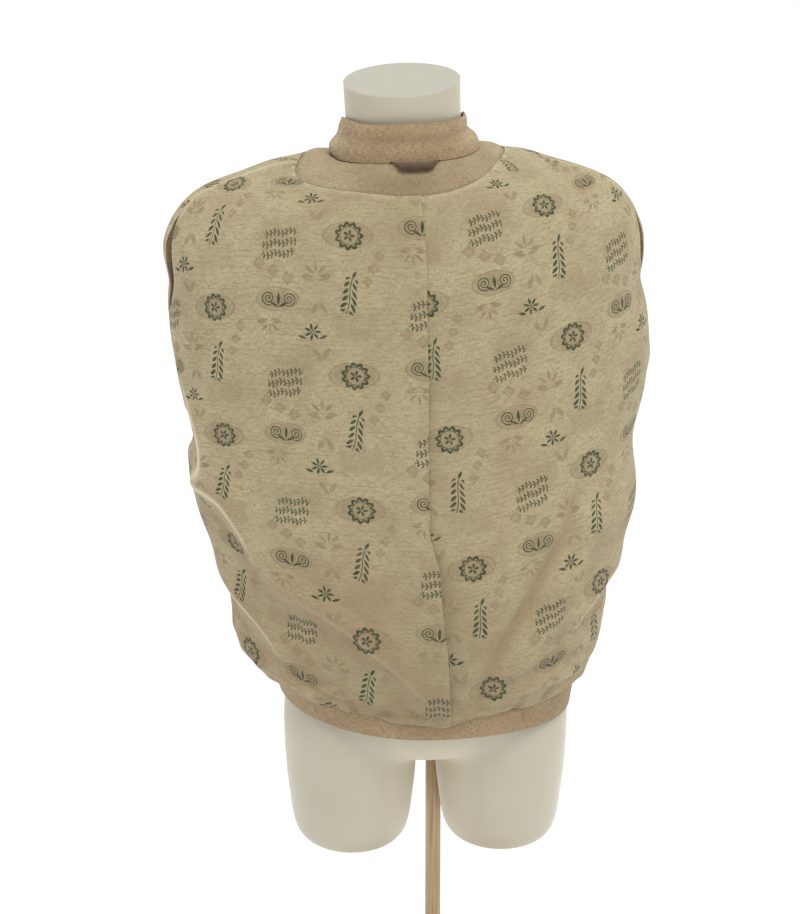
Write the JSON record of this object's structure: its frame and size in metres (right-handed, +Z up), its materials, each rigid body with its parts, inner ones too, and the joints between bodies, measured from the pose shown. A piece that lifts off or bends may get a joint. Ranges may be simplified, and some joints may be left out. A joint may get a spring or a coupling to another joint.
{
  "type": "jacket on torso dress form",
  "caption": "Stand-collar jacket worn inside out on a limbless torso form with post and base, its printed lining, back pleat, neck facing, hanger loop and hem band outside.",
  "frame": {"origin": "on the floor, at the middle of the base's underside", "axes": "+Z up, +X to the wearer's right, +Y out of the wearer's front, so the jacket's back faces -Y"},
  "size_m": [0.5329, 0.3178, 1.1368],
  "materials": {
    "lining_print": "matt printed linen weave",
    "plain_cloth": "matt plain weave",
    "form_plastic": "off-white satin",
    "stand_wood": "clear satin"
  },
  "bodies": {
    "root": {"back_left": "lining_print", "back_right": "lining_print", "front_left": "lining_print", "front_right": "lining_print", "front_facing_left": "plain_cloth", "front_facing_right": "plain_cloth", "neck_facing": "plain_cloth", "hem_band": "plain_cloth", "collar": "plain_cloth", "hanger_loop": "plain_cloth", "sleeve_left": "plain_cloth", "sleeve_right": "plain_cloth", "form_torso": "form_plastic", "stand_post": "stand_wood", "stand_base": "stand_wood"}
  },
  "joints": []
}
